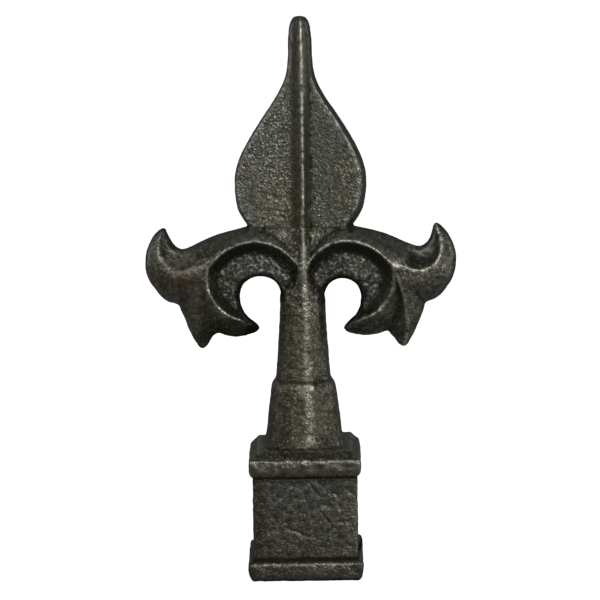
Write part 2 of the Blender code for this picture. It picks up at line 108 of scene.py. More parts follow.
# Runs of the half outline, in order round it: x, z, height of the relief just inside the edge,
# edge width
EDGES = {
    "blade_edge": [
        (*TIP, 1.8, 1.2), (1.9, 172, 1.8, 1.2), (3.1, 169.8, 2, 1.1), (3.65, 165, 2.4, 1),
        (3.8, 159.5, 2.8, 0.9), (4.7, 153.8, 3, 0.9), (7.5, 148, 3.3, 0.9),
        (12.8, 140, 3.7, 1), (17.5, 132, 4, 1.2), (19.8, 126, 4.2, 1.5),
        (20.3, 120.5, 4.4, 1.6), (19.6, 114.5, 4.6, 1.9), (18.3, 111.3, 4.8, 2.1),
        (*BLADE_NOTCH, 4.9, 2)],
    "arm_edge": [
        (*BLADE_NOTCH, 4.9, 2), (20, 107.2, 3.9, 1.7), (24, 106.2, 3.3, 1.5),
        (28, 104.8, 3, 1.4), (32, 103, 2.8, 1.3), (36.3, 101.4, 2.4, 1.2),
        (39, 102.7, 2.2, 1.1), (40.9, 106.2, 1.6, 1), (41.5, 107.8, 1.3, 1),
        (*HORN_TIP, 1.2, 1)],
    "horn_edge": [
        (*HORN_TIP, 1.2, 1), (43.6, 107.7, 1.4, 1), (45.6, 105.3, 1.9, 1.1),
        (47.6, 100.7, 2.4, 1.3), (48.05, 96.8, 2.6, 1.4), (47.3, 92.5, 2.6, 1.4),
        (45, 88.5, 2.5, 1.3), (42, 85.3, 2.2, 1.2), (*OUTER_NOTCH, 2, 1.2)],
    "lobe_outer_edge": [
        (*OUTER_NOTCH, 2, 1.2), (37.3, 80, 2, 1.2), (34.8, 74.8, 1.7, 1.1),
        (32.4, 70.9, 1.3, 1), (*LOBE_TIP, 1.2, 1)],
    "lobe_inner_edge": [
        (*LOBE_TIP, 1.2, 1), (29.6, 71.1, 1.3, 1), (28.2, 73.2, 1.6, 1),
        (*INNER_NOTCH, 1.8, 1.1)],
    "hook_outer_edge": [
        (*INNER_NOTCH, 1.8, 1.1), (23.2, 74.1, 1.9, 1.2), (20, 73.7, 1.8, 1.2),
        (16.2, 74.3, 1.5, 1), (14.2, 75.1, 1.3, 0.9), (*HOOK_TIP, 1.2, 0.9)],
    "hook_inner_edge": [
        (*HOOK_TIP, 1.2, 0.9), (13.8, 77.4, 1.4, 0.9), (15.1, 78.8, 1.8, 1),
        (17.2, 81.1, 2.8, 1.1), (18.5, 83.8, 3.6, 1.2), (18.8, 86.3, 3.9, 1.2)],
}
GAP_EDGE_WIDTH = 1.0

# Heights above the parting plane down the middle of the blade, by z
LEVELS = (78, 84, 88, 92, 97, 102, 108, 120, 140, 160, 168, 172.5)
RIB_CREST = (6.9, 7.1, 7.3, 7.4, 7.4, 7.4, 7.3, 6.9, 6.2, 5.2, 4.2, 3)
BLADE_FACE = (5.6, 6.3, 6.7, 6.8, 6.8, 5.8, 4.9, 4.4, 3.7, 2.8, 2.2, 1.8)
RIB_HALF_WIDTH = (4, 4, 3, 2.2, 2.2, 3, 3, 3, 3, 3, 3, 3)
RIB_HOLLOW = 1.5
DISH = 0.035

# Crests, and the valleys between the lobes: x, z, height. They spread from the crown, where
# the three lobes part
CROWN = (28.2, 96.2, 7.8)
SCROLL_ROOT = (1.8, 97.0)
CRESTS = {
    "scroll_crest": [
        (*SCROLL_ROOT, 6.9), (4.2, 99.8, 7.2), (7.6, 102.2, 7.5), (11.7, 103.6, 7.7),
        (15.5, 103.7, 7.8), (19.4, 102.8, 7.9), (23.6, 100.6, 7.9), CROWN],
    "hook_crest": [
        CROWN, (28.7, 92.8, 7.5), (28.2, 89, 7.1), (26, 84.4, 6.5), (22.3, 81.1, 5.7),
        (17.4, 78.8, 4.4), (*HOOK_TIP, 1.6)],
    "horn_crest": [
        CROWN, (31.8, 95.7, 7.4), (35.2, 94.9, 7), (38, 94.9, 6.6), (41.2, 96.5, 5.9),
        (43, 99.7, 4.9), (43.3, 103.8, 3.4), (*HORN_TIP, 1.4)],
    "lobe_crest": [
        CROWN, (30.1, 91.8, 7.3), (31.4, 87.4, 6.6), (32.3, 82.5, 5.7), (32.5, 77.5, 4.5),
        (32, 73.5, 3.1), (*LOBE_TIP, 1.4)],
    "inner_valley": [
        CROWN, (29.3, 91.4, 6.9), (30, 87.4, 5.3), (29.8, 83.2, 4.2), (28.8, 79, 3.1),
        (*INNER_NOTCH, 1.8)],
    "outer_valley": [CROWN, (31, 92.6, 7.35), (34.4, 88.6, 6.2), (*OUTER_NOTCH, 2)],
}

# Lines on the blade's own face, x and z: its foot, from its notch in to the root of the scroll,
# the edge of the neck between the two recesses, from the stem up, and the rib's crest
FACE_LINES = {
    "blade_foot": [
        BLADE_NOTCH, (12, 107.4), (8, 105.6), (5, 102.8), (3.2, 100), SCROLL_ROOT],
    "neck_edge": [(3.4, 84), (2.4, 88), (1.45, 91), (1.35, 94), SCROLL_ROOT],
    "rib_crest": [(0, STEM_SPRING), (0, 128), TIP],
}

# The recess round the gap: its floor, and the straight walls that fall to it from the neck and
# from the crest, narrowing towards the hook, where the crest and the floor are low
FLOOR_HEIGHT = 3.9
WALL_WIDTH = 3.4
NECK_WALL_WIDTH = 2.0
WALL_LOW_CREST = 1.6
WALL_FULL_CREST = 6.6
LEAST_WALL = 0.2
MOST_FLOOR_SHARE = 0.5

# How far each face of the lobes bulges (above 0) or is hollowed (below 0), and how far out the
# arm turns into the horn's hollow back, like a spoon
ARM_BULGE = 0.25
HORN_FRONT_BULGE = 0.65
HORN_BACK_BULGE = -1.15
HORN_BACK_BULGE_ON_LEFT = -0.5
LOBE_OUTER_BULGE = 0.3
LOBE_INNER_BULGE = -0.5
HOOK_BULGE = 0.3
SPOON_START = 32.5
SPOON_RUN = 2.5

# How the faces end at the outline: in a round shoulder, or in a crisp bevel
ROUND_POWER = 2.2
BEVEL_POWER = 0.6
ROUND_WIDTH_ON_LEFT = 0.6

# Faces between a crest and the low lines round it: the ring of lines, where a minus sign means
# that the line is walked backwards, and the face's bulge
FACES = ((("horn_crest", "horn_edge", "-outer_valley"), HORN_FRONT_BULGE),
         (("lobe_crest", "-lobe_outer_edge", "-outer_valley"), LOBE_OUTER_BULGE),
         (("lobe_crest", "lobe_inner_edge", "-inner_valley"), LOBE_INNER_BULGE),
         (("hook_crest", "-hook_outer_edge", "-inner_valley"), HOOK_BULGE))
RECESS = ("neck_edge", "scroll_crest", "hook_crest", "hook_inner_edge", "gap_edge")

# How sharply the low lines beside a point take over from one another, and what keeps a point
# that lies on a line from a division by zero
LOW_HEIGHT_POWER = 3.0
LOW_GAP_POWER = 4.0
LEAST_DISTANCE = 1e-6
TINY = 1e-9

# Mesh spacing
LINE_STEP = 0.55
FILL_STEP = 0.55
CURVE_STEP = 0.4
CURVE_SAMPLES = 16
VOXEL = 0.34
MOST_TRIANGLES = 186_000

# Rows of points along the outline, as shares of its edge's width, and how far the plan's points
# keep from the edge, the axis and one another, the last in shares of the fill's step
EDGE_ROWS = (0.5, 1.0)
ROW_TO_EDGE = 0.25
ROW_TO_AXIS = 0.3
LEAST_GAP = 0.3
FILL_CLEARANCE = 0.62

# Points closer than this are one: in the outline, in the plan, at the parting plane and at the
# seam of a turned form
SAME_POINT = 0.01
PLAN_TOLERANCE = 0.0001
SEWING_GAP = 0.001
SEAM_GAP = 0.01

# The melted skin is softened a little, and shaded sharp over steep edges, in degrees
SOFTEN_FACTOR = 0.5
SOFTEN_STEPS = 2
SHARP_ANGLE = 50.0

# The carver's hand: the leaves sit a little to the left, the left one higher, and the
# front half of the mould slipped to the left
LEAF_SHIFT = 0.4
LEAF_LIFT = 0.05
SLIP_START = 6.0
SLIP_RUN = 10.0
SLIP_TOP = 150.0
SLIP_RISE = 40.0
MOULD_SHIFT = 0.25
MOULD_DEPTH = 1.2
RIB_SHIFT = 0.6
RIB_SHIFT_REACH = 5.0

# Places that the carver's hand moved: x and z, side, radius of the middle, reach, move in x and
# z, growth
MOVES = ((GAP_CENTRE, 1, GAP_RADIUS, 9, -0.2, -0.5, -0.02),
         (GAP_CENTRE, -1, GAP_RADIUS, 9, 0.15, 0, 0.04),
         (HORN_TIP, 1, 1, 5, -0.5, 0.3, 0), (HORN_TIP, -1, 1, 5, 0.1, -0.3, 0),
         (HOOK_TIP, 1, 1, 5, -0.3, -0.1, 0), (HOOK_TIP, -1, 1, 5, 0.3, 0.1, 0),
         ((32, 71), 1, 3, 12, 0.25, 0, 0), ((32, 71), -1, 3, 12, 0.4, 0, 0),
         ((38, 81), -1, 1.5, 6, 0.6, 0.2, 0))
BLADE_SHIFT = 0.15

# The block leans at its far right edge, where its shoulder and its foot also rise, and its
# foot narrows downwards
BLOCK_TOP = 42.0
BLOCK_SKEW = 0.4
SHOULDER_FOOT = 36.0
SHOULDER_RISE = 0.7
FOOT_TOP = 8.0
FOOT_RISE = 1.3
FOOT_TAPER = 0.032
FOOT_TAPER_TOP = 4.0

# Worn places: x, z, radius, and -1 for the front, 1 for the back or 0 for both
WORN = ((0, 87.5, 5.5, 0), (-31.5, 79, 9, -1), (-34, 92, 7, -1), (-40, 94.5, 6, -1),
        (-32.5, 96, 6, -1), (25.5, 85, 4, -1), (30, 80, 8, 1), (-30, 80, 8, 1))
WEAR_STEPS = 60

# The skin of the casting: the size of its lumps, and their depth on the blade, the block and
# elsewhere, the run from the scroll up to the blade, and the skin's clearance inside the box
LUMPS = ((7, 0.05, 0.12, 0.12), (2.8, 0.05, 0.16, 0.11), (1.3, 0.06, 0.13, 0.09))
BLADE_RUN = 12.0
CLEARANCE = 0.02

# Scratches on the front of the block, further from the axis than the panel's depth: x and z of
# their ends, and how deep they are
PANEL_DEPTH = 14.5
SCRATCHES = (
    (-5.6, 16.8, 1.8, 13.5, 0.12), (1.5, 30.2, 4.6, 26, 0.08), (4.6, 21.6, 8.6, 16.8, 0.08),
    (-9, 23, -4, 20.5, 0.06), (-11.5, 12.5, -6, 10.5, 0.05),
)
SCRATCH_HALF_WIDTH = 0.45

# Where the crests are worn bright and given painted highlights, and the painted highlight
# stripes down the neck and the stem: line, side of the casting, strength, half width
WEAR_AND_HIGHLIGHT_LINES = (
    ("scroll_crest", 1, 0.7, 0.3), ("scroll_crest", -1, 0.5, 0.3), ("hook_crest", 1, 0.45, 0.5),
    ("hook_crest", -1, 0.85, 0.24), ("horn_crest", 1, 0.85, 0.33), ("horn_crest", -1, 0.1, 0.5),
    ("lobe_crest", 1, 0.85, 0.38), ("rib_crest", 1, 1, 0.4), ("neck_highlight", 1, 0.85, 0.7),
    ("stem_highlight", 1, 0.25, 1.2),
)

# Painted highlight stripes down the neck and the stem, x and z. They and the rib lie near the
# axis
HIGHLIGHT_STRIPES = {
    "neck_highlight": [
        (-0.1, 102.7), (0.15, 97.7), (0.3, 95.2), (0.3, 90.6), (0.5, 85.9), (0.95, 79.6)],
    "stem_highlight": [(0.95, 82), (1.2, 66), (1.35, 61), (1.6, 59), (1.85, 42)],
}
ON_AXIS = ("rib_crest", *HIGHLIGHT_STRIPES)
AXIS_REACH = 4.0

# Patches of the front: x, z, half width, half height, strength
# Patches brightened by painted highlights, the crown's also worn bright
HIGHLIGHT_AND_WEAR_SPOTS = (
    (28.4, 96.2, 1.4, 1.2, 0.3), (33.6, 100.8, 1.2, 0.9, 0.6), (-30.5, 88.5, 2.5, 3.5, 0.15),
    (-37, 99, 3.6, 2, 0.55), (38, 99.5, 2.6, 1.6, 0.25), (0, 18.5, 20, 13, 0.08),
    (12.5, 18, 3.5, 11, 0.19), (-2.2, 128, 1.5, 26, 0.06), (38, 92.5, 6, 5, 0.05),
    (-10.5, 120, 7, 12, 0.035),
)
RUST_STAINS = (
    (-39.5, 91.8, 7, 3, 1.3), (-30.5, 88, 3.2, 5, 1), (-2.7, 118, 2.2, 14, 0.8),
    (-2, 66, 6, 18, 0.9), (-5, 64, 3, 12, 1.2), (-3, 48, 9, 9, 0.9), (6, 52, 5, 12, 0.5),
    (0, 34.5, 16, 2, 0.8), (-15, 18, 3, 15, 0.9), (-5, 12, 12, 8, 0.6), (13, 14, 5, 10, 0.5),
    (0, 6.6, 18, 0.7, 0.9),
)
OLIVE_STAINS = (
    (-26, 91, 4, 6, 0.5), (-8.5, 115, 5, 8, 0.8), (9, 119, 8, 12, 0.5), (0, 133, 2.2, 28, 0.6),
    (34, 92.5, 8, 5, 0.8), (-43, 98.5, 4, 5.5, 0.6), (-29, 98.5, 6, 4, 0.7),
    (-25, 78, 10, 5, 0.9), (24, 79, 6, 5, 0.5), (33, 80, 4, 8, 0.6), (0, 95, 6, 16, 0.8),
    (-5, 76, 3.5, 10, 0.8), (3, 68, 6, 16, 0.6), (3, 52, 9, 10, 0.6), (-14, 34.5, 5, 3, 0.8),
    (14, 24, 2.5, 9, 0.5), (-15.8, 24, 1.2, 8, 0.7),
)
# Patches darkened by painted shade, with some sooting
SHADE_AND_SOOT_PATCHES = (
    (-15, 20, 2.2, 13, 0.5), (0, 42.9, 13, 0.8, 0.3), (-9, 50, 3, 10, 0.3), (-7, 69, 2, 12, 0.3),
    (-13, 95.5, 6, 4, 0.2), (-41.3, 101, 2, 3.5, 0.35), (-20, 76, 7, 3.5, 0.85),
    (0, 64, 10, 20, 0.12), (-15.2, 76, 3.6, 2.6, 1.1), (-30.6, 71.5, 2.6, 2.6, 0.9),
    (-28.5, 75, 4, 6, 0.5), (14.5, 76.4, 2.5, 1.5, 0.4), (20, 77, 6, 3, 0.3),
    (-17.8, 3, 1.6, 4, 0.75), (17.8, 2, 1.2, 3, 0.5), (0, 38.9, 14, 0.9, 0.3),
    (2.4, 130, 1.4, 30, 0.25),
)

# Rings round the block and the stem's foot: z, half height, how much painted highlight and
# how much painted shade they get
RINGS = (
    (37.1, 0.7, 0.17, 0), (34.8, 1.8, 0.18, 0), (40.5, 0.5, 0.22, 0), (5.6, 0.5, 0.18, 0),
    (32, 0.5, 0, 1), (31.3, 0.45, 0, 0.8), (30.7, 0.5, 0, 0.3), (6.75, 0.45, 0, 1),
    (2.4, 2.2, 0, 0.15), (0.2, 0.8, 0, 0.95),
)
RING_DEPTH = 12.0

# Lines darkened by painted shade and sooting: line, side, strength, half width
SHADE_AND_SOOT_LINES = (("inner_valley", 1, 0.6, 1.3), ("hook_outer_edge", -1, 0.95, 4.5),
         ("hook_outer_edge", 1, 0.4, 4))

# The dark rims of the gaps and edges, painted shade: line, side, strength, width
DARK_RIMS = (
    ("gap_edge", 1, 1, 2.1), ("gap_edge", -1, 1, 1.85), ("hook_inner_edge", 1, 1, 0.9),
    ("hook_inner_edge", -1, 1, 0.9), ("blade_edge", 1, 0.45, 1.3), ("blade_edge", -1, 0.6, 0.5),
)
RIM_FADE = 0.35

# Sooting and painted shade in hollows, and painted shade on the recess walls and along the
# parting plane, with the bands where less of it is painted: z from and to, and the share that is
# left
HOLLOW_FULL = 0.12
WALL_SHADE = 0.6
CREST_HALF_WIDTH = 0.3
RIM_DEPTH = 2.4
RIM_SHADE = 0.8
RIM_FOOT = 84.0
COLLARS = ((57, 63, 0.1), (37.5, 44, 0))

# The skin's own bulges, measured over a few mesh steps, are worn a little brighter, less on the
# block
CURVATURE_STEPS = 5
CONVEX_FULL = 0.11
CONVEX_RUB = 0.35
CONVEX_ON_BLOCK = 0.4

# Where the leaves and the blade are, and how sandy the skin is: the recess floors, the leaves,
# the sides of the rib, and bands given by z from and to, each with its least grain
LEAF_HEIGHTS = (68.0, 110.5)
BLADE_HEIGHTS = (107.0, 173.0)
LEAF_START = 9.0
BLADE_REACH = 24.0
NOTCH_FADE = 1.0
FLOOR_GRAIN = 0.91
LEAST_GRAIN = 0.4
RIB_SIDE = 2.0
RIB_SMOOTHNESS = 0.65
SMOOTH_BANDS = ((148, 173, 0.5), (-1, 6, 0.7), (6, 31, 0.7), (33, 38, 0.4), (43.5, 80, 0.8))

# Patches of the front with less grain, and with a coarse grain whose bright tops are painted
# glints
SMOOTH_PATCHES = ((9, 137, 7, 16, 0.4), (-15, 118, 3, 8, 0.35))
COARSE_PATCHES = (
    (-8.5, 113.5, 5.5, 6, 0.8), (8, 114, 6, 7, 0.5), (1.2, 68, 2.2, 12, 0.6),
    (1.5, 50, 4, 7, 0.4), (0, 43, 11, 1.6, 0.4), (-35.5, 98.6, 3.5, 2, 0.8),
    (36, 100.4, 2.6, 1.3, 0.7), (12, 19, 3, 11, 0.8), (-1, 25.5, 9, 4, 0.5),
    (0, 40.5, 12, 1.6, 0.5),
)

# Noise that breaks up the maps: size, seed, mean and swing
BROKEN = (1.1, 31.0, 0.68, 1.4)
PATCHY = (4.0, 5.0, 0.8, 1.2)

# How far out a patch ends, in its half widths and half heights
PATCH_FADE = 1.6

# The iron's colours: plain, in pits, on bright grains (painted glints), where worn bright or
# given a painted highlight, under sooting and painted shade, and in stains
IRON = (0.15, 0.147, 0.125, 1.0)
PIT_IRON = (0.05, 0.048, 0.041, 1.0)
BRIGHT_IRON = (0.66, 0.655, 0.6, 1.0)
WORN_AND_HIGHLIT_IRON = (0.75, 0.72, 0.59, 1.0)
SOOT_AND_SHADE_IRON = (0.014, 0.0139, 0.008, 1.0)
RUST = (0.14, 0.108, 0.07, 1.0)
OLIVE = (0.138, 0.138, 0.088, 1.0)
OLIVE_BRIGHT = (0.8, 0.79, 0.52, 1.0)
RUSTY_BRIGHT = (0.72, 0.62, 0.48, 1.0)

# The iron's finish. Its roughness varies in soft patches, whose size is in millimetres
METALLIC = 0.85
SPECULAR = 0.5
ROUGHNESS = (0.32, 0.45)
WEAR_AND_HIGHLIGHT_ROUGHNESS = 0.28
ROUGHNESS_PATCH = 2.0
ROUGHNESS_NOISE = (0.3, 0.7)
PATCH_DETAIL = 2.0

# The fine and the coarse grain, in millimetres, the noise values between which they turn to
# pits, and those where the bright tops, painted glints, start and end, each for the fine and the
# coarse grain
GRAIN_SIZES = (0.7, 1.0)
GRAIN_DETAIL = 1.0
PIT_RANGE = (0.32, 0.5)
PIT_STRENGTH = 0.7
TOPS_START = (0.55, 0.52)
TOPS_END = (0.75, 0.68)
TOPS_STRENGTH = 0.82
BUMP_DEPTH = 0.22
LEAST_BUMP = 0.5

# How far sooting and painted shade cover the iron, and between which amounts they turn matte
SHADE_COVER = 0.9
MATTE_SHADE = (0.65, 0.95)

# The camera, in metres and radians, as the photograph was taken, with the width of its view at
# the finial
VIEW_WIDTH = 0.18564
CAMERA_DISTANCE = 0.8
CAMERA_ELEVATION = 0.1226
CAMERA_ROLL = 0.0131
CAMERA_SHIFT = 0.0008
AIM_HEIGHT = 0.08497
SENSOR_WIDTH = 36.0

# Soft square lights: name, azimuth and elevation in degrees, and power. Azimuth 0 is the camera's
# side. Their size, distance and aim are in metres
LIGHTS = (
    ("key", 18, 10, 1.05), ("key_above", 18, 25, 1.9), ("left_front", -30, 20, 1.15),
    ("low_right", 60, -10, 0.8), ("right_side", 100, 10, 0.8), ("left_side", -90, 10, 0.6),
)
LIGHT_SIZE = 0.5
LIGHT_DISTANCE = 1.2
LIGHT_AIM = (0.0, 0.0, 0.09)
WHITE = (1.0, 1.0, 1.0, 1.0)
WORLD_STRENGTH = 0.105
FLOOR_SIZE = 300_000.0
FLOOR_FINISH = {"Base Color": (0.9, 0.9, 0.9, 1.0), "Roughness": 0.9, "Emission Color": WHITE,
                "Emission Strength": 1.0}


def held(values):
    """Values held between 0 and 1."""
    return np.clip(values, 0.0, 1.0)


def smooth_share(values):
    """Values held between 0 and 1, with a soft start and end."""
    share = held(values)
    return share * share * (3.0 - 2.0 * share)


def nearness(gap, half_width):
    """1 close to a line, a half at its half width, and 0 from one and a half of them on."""
    return smooth_share(1.5 - gap / half_width)


def between(values, low, high):
    """Which values lie between two others."""
    return (values > low) & (values < high)


def smooth_run(points, step):
    """Points about one step apart on a smooth curve through the given points."""
    knots = np.array(points, float)
    before = 2 * knots[0] - knots[1]
    after = 2 * knots[-1] - knots[-2]
    knots = np.vstack([before, knots, after])
    dense = []
    for a, b, c, d in zip(knots, knots[1:], knots[2:], knots[3:]):
        for t in np.linspace(0.0, 1.0, CURVE_SAMPLES, endpoint=False):
            square = (2 * a - 5 * b + 4 * c - d) * t * t
            cube = (3 * b - a - 3 * c + d) * t ** 3
            dense.append(0.5 * (2 * b + (c - a) * t + square + cube))
    dense.append(knots[-2])
    dense = np.array(dense)
    spans = np.hypot(*np.diff(dense[:, :2], axis=0).T)
    length = np.concatenate([[0.0], np.cumsum(spans)])
    count = max(2, round(length[-1] / step) + 1)
    stops = np.linspace(0.0, length[-1], count)
    return np.column_stack([np.interp(stops, length, column) for column in dense.T])


def gap_run(step):
    """The round gap's edge, from beside the hook over the top to the stem."""
    count = round(math.pi * GAP_RADIUS / step) + 1
    angles = np.linspace(0.0, math.pi, count)
    x = GAP_CENTRE[0] + GAP_RADIUS * np.cos(angles)
    z = GAP_CENTRE[1] + GAP_RADIUS * np.sin(angles)
    rim = np.full(count, FLOOR_HEIGHT)
    return np.column_stack([x, z, rim, np.full(count, GAP_EDGE_WIDTH)])


def nearest(curve, points):
    """The distance from each point to a curve, and the curve's values at that place."""
    distance = np.full(len(points), np.inf)
    values = np.zeros((len(points), curve.shape[1]))
    for start, end in zip(curve, curve[1:]):
        run = end - start
        if not run[:2].any():
            continue
        along = (points - start[:2]) @ run[:2] / (run[:2] @ run[:2])
        foot = start + held(along)[:, None] * run
        gap = np.hypot(*(points - foot[:, :2]).T)
        closer = gap < distance
        distance[closer] = gap[closer]
        values[closer] = foot[closer]
    return distance, values


def inside(ring, points):
    """Which points lie inside a closed ring, whose first two values are x and z."""
    x, z = points.T
    ring = ring[:, :2]
    result = np.zeros(len(points), bool)
    for (x1, z1), (x2, z2) in zip(ring, np.roll(ring, -1, axis=0)):
        if z1 != z2:
            crosses = (z1 > z) != (z2 > z)
            result ^= crosses & (x < (x2 - x1) * (z - z1) / (z2 - z1) + x1)
    return result


def blade_height(x, z):
    """The blade's face with its hollow-sided rib, and the neck below it."""
    face = np.interp(z, LEVELS, BLADE_FACE)
    crest = np.interp(z, LEVELS, RIB_CREST)
    half_width = np.interp(z, LEVELS, RIB_HALF_WIDTH)
    rise = held(1.0 - np.abs(x) / half_width) ** RIB_HOLLOW
    dish = DISH * np.clip(np.abs(x) - half_width, 0.0, None) * (z > BLADE_NOTCH[1])
    return face + (crest - face) * rise + dish


def draw(step):
    """Every line of the drawing, as points about one step apart."""
    lines = {name: smooth_run(points, step) for name, points in {**EDGES, **CRESTS}.items()}
    lines["gap_edge"] = gap_run(step)
    for name, points in FACE_LINES.items():
        run = smooth_run(points, step)
        lines[name] = np.column_stack([run, blade_height(*run.T)])
    return lines


def ring_of(lines, names):
    """Lines walked one after the other, as x, z and height."""
    runs = []
    for name in names:
        run = lines[name.lstrip("-")][:, :3]
        runs.append(run[::-1] if name.startswith("-") else run)
    return np.vstack(runs)


def low_line(lines, names, points):
    """Distance and height of the low lines beside each point, blended where they meet."""
    near = [nearest(lines[name], points) for name in names]
    gaps = np.array([np.maximum(gap, LEAST_DISTANCE) for gap, _ in near])
    heights = np.array([values[:, 2] for _, values in near])
    weights = gaps ** -LOW_HEIGHT_POWER
    distance = (gaps ** -LOW_GAP_POWER).sum(axis=0) ** (-1.0 / LOW_GAP_POWER)
    return distance, (weights * heights).sum(axis=0) / weights.sum(axis=0)


def facet_height(lines, crest, lows, bulge, points):
    """A face from its crest down to its low lines, bulging or hollowed on the way."""
    crest_gap, values = nearest(crest, points)
    low_gap, low = low_line(lines, lows, points)
    share = low_gap / (low_gap + crest_gap + TINY)
    bulging = 1.0 - (1.0 - share) ** (1.0 + np.maximum(bulge, 0.0))
    hollow = share ** (1.0 - np.minimum(bulge, 0.0))
    share = np.where(np.asarray(bulge) > 0.0, bulging, hollow)
    return low + (values[:, 2] - low) * share


def joined(lines, first, second):
    """Two lines that meet, as one."""
    return np.vstack([lines[first], lines[second][1:]])


def recess_height(lines, points):
    """The recess round the gap: straight walls down from its crest, then a flat floor."""
    gap, values = nearest(joined(lines, "scroll_crest", "hook_crest"), points)
    top = values[:, 2]
    neck_gap, neck_values = nearest(lines["neck_edge"], points)
    floor = np.minimum(FLOOR_HEIGHT, MOST_FLOOR_SHARE * top)
    full = (top - WALL_LOW_CREST) / (WALL_FULL_CREST - WALL_LOW_CREST)
    width = WALL_WIDTH * np.clip(full, LEAST_WALL, 1.0)
    wall = top - (top - floor) * held(gap / width)
    neck_top = neck_values[:, 2]
    neck_wall = neck_top - (neck_top - floor) * held(neck_gap / NECK_WALL_WIDTH)
    return np.maximum(wall, neck_wall)


def relief_height(lines, points, side):
    """Height of the relief above the parting plane, for points inside the outline."""
    height = blade_height(*points.T)

    arm_crest = joined(lines, "scroll_crest", "horn_crest")
    arm_ring = np.vstack([arm_crest, ring_of(lines, ("-arm_edge", "blade_foot"))])
    arm = inside(arm_ring, points)
    in_spoon = held((points[arm, 0] - SPOON_START) / SPOON_RUN)
    spoon_bulge = HORN_BACK_BULGE if side > 0 else HORN_BACK_BULGE_ON_LEFT
    bulge = ARM_BULGE + (spoon_bulge - ARM_BULGE) * in_spoon
    height[arm] = facet_height(lines, arm_crest, ("arm_edge", "blade_foot"), bulge, points[arm])

    for ring_names, bulge in FACES:
        face = inside(ring_of(lines, ring_names), points)
        crest, *lows = (name.lstrip("-") for name in ring_names)
        height[face] = facet_height(lines, lines[crest], lows, bulge, points[face])

    tongue = (TONGUE_HALF_WIDTH, TONGUE_FOOT, TONGUE_RIM)
    recess = inside(np.vstack([ring_of(lines, RECESS), tongue]), points)
    height[recess] = recess_height(lines, points[recess])

    edge_gap, values = nearest(ring_with_values(lines, side), points)
    _, _, _, width, bevelled = values.T
    t = held(1.0 - edge_gap / width)
    return height * np.where(bevelled > 0.5, (1.0 - t) ** BEVEL_POWER, 1.0 - t ** ROUND_POWER)


def ring_with_values(lines, side):
    """The half outline from the tip round to the tongue, with edge heights and widths, and 1
    where the edge is bevelled. The blade is bevelled on the right side only."""
    runs = []
    for name in (*EDGES, "gap_edge"):
        run = lines[name]
        bevelled = name in ("gap_edge", "hook_inner_edge") or name == "blade_edge" and side > 0
        run = np.column_stack([run, np.full(len(run), float(bevelled))])
        if name == "blade_edge" and side < 0:
            run[:, 3] *= ROUND_WIDTH_ON_LEFT
        runs.append(run)
    tongue = [(TONGUE_HALF_WIDTH, TONGUE_FOOT, TONGUE_RIM, GAP_EDGE_WIDTH, 0.0),
              (0.0, TONGUE_FOOT, TONGUE_RIM, GAP_EDGE_WIDTH, 0.0)]
    return np.vstack(runs + [tongue])


def inset(curve, distance):
    """A curve's points moved sideways to its right by a distance of each point's own."""
    along = np.gradient(curve[:, :2], axis=0)
    along /= np.hypot(*along.T)[:, None]
    return curve[:, :2] + np.column_stack([along[:, 1], -along[:, 0]]) * distance[:, None]


def far_from(points, others, distance):
    """The points that keep a distance from all the others."""
    gaps = [np.hypot(*(others - point).T).min() for point in points]
    return points[np.array(gaps) >= distance]


def fill_points(ring, spacing):
    """Rows of points over the area inside a ring, every second row shifted by half."""
    low, high = ring.min(axis=0), ring.max(axis=0)
    points = []
    for row, z in enumerate(np.arange(low[1], high[1], spacing * math.sqrt(0.75))):
        for x in np.arange(low[0] + spacing * (0.5 if row % 2 else 1.0), high[0], spacing):
            points.append((x, z))
    points = np.array(points)
    return points[inside(ring, points)]


def quarter_plan(side):
    """Points and fixed edges of the flat plan that the relief is raised from, and its ring."""
    drawn = draw(LINE_STEP)
    outline = ring_with_values(drawn, side)
    spans = np.hypot(*np.diff(outline[:, :2], axis=0).T)
    outline = outline[np.concatenate([[True], spans > SAME_POINT])]
    ring = outline[:, :2]
    axis_count = round((TIP[1] - TONGUE_FOOT) / FILL_STEP)
    axis_z = np.linspace(TONGUE_FOOT, TIP[1], axis_count + 1)[1:-1]
    axis = np.column_stack([np.zeros(len(axis_z)), axis_z])
    loop = np.vstack([ring, axis])
    points = list(map(tuple, loop))
    fixed = [(i, (i + 1) % len(loop)) for i in range(len(loop))]

    for name in (*CRESTS, "blade_foot", "neck_edge"):
        first = len(points)
        points.extend(map(tuple, drawn[name][:, :2]))
        fixed.extend((i, i + 1) for i in range(first, len(points) - 1))

    fine = draw(CURVE_STEP)
    fine_ring = ring_with_values(fine, side)
    rows = np.vstack([inset(outline, outline[:, 3] * share) for share in EDGE_ROWS])
    rows = rows[inside(fine_ring, rows)]
    edge_gap, _ = nearest(fine_ring, rows)
    rows = rows[(edge_gap > ROW_TO_EDGE) & (rows[:, 0] > ROW_TO_AXIS)]
    kept = np.array(points)
    for candidate in rows:
        if np.hypot(*(kept - candidate).T).min() > LEAST_GAP:
            kept = np.vstack([kept, candidate])
    filler = far_from(fill_points(ring, FILL_STEP), kept, FILL_CLEARANCE * FILL_STEP)
    return list(map(tuple, np.vstack([kept, filler]))), fixed, ring


def on_outline(vert):
    """Whether a point of the flat plan lies on the outline, and not only on the axis."""
    off_axis = vert.co.x > PLAN_TOLERANCE or vert.co.z in (TIP[1], TONGUE_FOOT)
    return vert.is_boundary and off_axis


